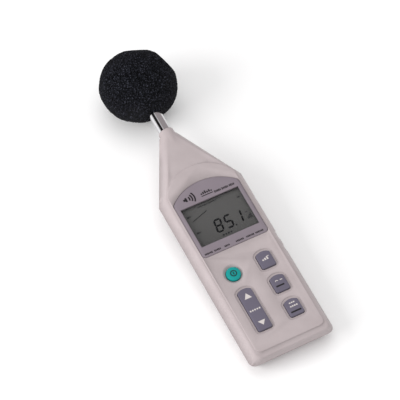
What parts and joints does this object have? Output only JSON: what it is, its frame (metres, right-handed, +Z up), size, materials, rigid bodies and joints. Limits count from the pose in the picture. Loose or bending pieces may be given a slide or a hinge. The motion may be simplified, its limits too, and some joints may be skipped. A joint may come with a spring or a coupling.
{
  "type": "sound level meter",
  "caption": "Hand-held sound level meter lying on its back: tapered two-part case, arched display, rubber-backed keys, chromed microphone stem and a round foam windscreen.",
  "frame": {"origin": "centre of the bounding box in plan, at the table that the meter lies on", "axes": "+Y along the meter from its base end to the microphone, +Z up from the table, +X to the right of the display"},
  "size_m": [0.0718, 0.2858, 0.059],
  "materials": {
    "pale_abs": "fine moulded texture, warm light grey ABS",
    "bezel_plastic": "satin printed film over plastic, mauve grey",
    "key_plastic": "satin moulded, purple grey",
    "power_key_plastic": "semi-gloss moulded, teal",
    "clear_acrylic": "polished clear sheet",
    "lcd_glass": "grey polarised liquid crystal cell",
    "black_plastic": "moulded, fine texture",
    "board_laminate": "green solder mask on glass-fibre laminate",
    "silicone_rubber": "matt moulded silicone",
    "black_rubber": "matt moulded rubber",
    "chromed_steel": "bright chromed tube",
    "mic_alloy": "fine turned, nickel plated",
    "screw_steel": "zinc plated",
    "nickel_plate": "nickel-plated spring steel",
    "brass": "turned brass",
    "cell_sleeve": "printed sleeve, plain dark blue grey",
    "charcoal_foam": "open-cell polyurethane foam"
  },
  "bodies": {
    "meter": {"front_case": "pale_abs", "rear_case": "pale_abs", "case_screw_1": "screw_steel", "case_screw_2": "screw_steel", "case_screw_3": "screw_steel", "case_screw_4": "screw_steel", "tripod_bush": "brass", "display_bezel": "bezel_plastic", "display_lens": "clear_acrylic", "lcd_glass": "lcd_glass", "lcd_frame": "black_plastic", "elastomer_strip_1": "silicone_rubber", "elastomer_strip_2": "silicone_rubber", "main_board": "board_laminate", "key_mat": "silicone_rubber", "main_chip": "black_plastic", "board_screw_1": "screw_steel", "board_screw_2": "screw_steel", "battery_cell_1": "cell_sleeve", "battery_cell_2": "cell_sleeve", "battery_cell_3": "cell_sleeve", "battery_cell_4": "cell_sleeve", "contact_spring_1": "nickel_plate", "contact_spring_2": "nickel_plate", "contact_spring_3": "nickel_plate", "contact_spring_4": "nickel_plate", "base_contact_left": "nickel_plate", "base_contact_right": "nickel_plate", "top_contact_negative": "nickel_plate", "top_contact_middle": "nickel_plate", "top_contact_positive": "nickel_plate", "output_jack": "black_plastic", "power_jack": "black_plastic", "trimmer_body": "black_plastic", "mic_tube": "chromed_steel", "neck_seal": "black_rubber", "mic_capsule": "mic_alloy", "mic_grid": "mic_alloy", "preamp_board": "board_laminate"},
    "power_key": {"power_key": "power_key_plastic"},
    "level_key": {"level_key": "key_plastic"},
    "max_key": {"max_key": "key_plastic"},
    "weighting_key": {"weighting_key": "key_plastic"},
    "response_key": {"response_key": "key_plastic"},
    "battery_cover": {"battery_cover": "pale_abs"},
    "windscreen": {"windscreen": "charcoal_foam"},
    "trimmer_rotor": {"trimmer_rotor": "brass"}
  },
  "joints": [
    {"name": "power_key_press", "type": "slide", "parent": "meter", "child": "power_key", "axis": [0, 0.0738, -0.9973], "range_m": [0, 0.0006], "stiffness_N_per_m": 1500},
    {"name": "max_key_press", "type": "slide", "parent": "meter", "child": "max_key", "axis": [0, 0.0738, -0.9973], "range_m": [0, 0.0006], "stiffness_N_per_m": 1500},
    {"name": "weighting_key_press", "type": "slide", "parent": "meter", "child": "weighting_key", "axis": [0, 0.0738, -0.9973], "range_m": [0, 0.0006], "stiffness_N_per_m": 1500},
    {"name": "response_key_press", "type": "slide", "parent": "meter", "child": "response_key", "axis": [0, 0.0738, -0.9973], "range_m": [0, 0.0006], "stiffness_N_per_m": 1500},
    {"name": "level_key_rock", "type": "hinge", "parent": "meter", "child": "level_key", "pos_m": [-0.0138, -0.10458, 0.02001], "axis": [1, 0, 0], "range_deg": [-1.6, 1.6], "stiffness_Nm_per_rad": 0.5},
    {"name": "battery_cover_slide", "type": "slide", "parent": "meter", "child": "battery_cover", "axis": [0, -0.9973, -0.0738], "range_m": [0, 0.065]},
    {"name": "windscreen_pull", "type": "slide", "parent": "meter", "child": "windscreen", "axis": [0, 0.9973, 0.0738], "range_m": [0, 0.06]},
    {"name": "trimmer_turn", "type": "hinge", "parent": "meter", "child": "trimmer_rotor", "pos_m": [0, -0.01668, 0.0192], "axis": [1, 0, 0], "range_deg": [-135, 135]}
  ]
}
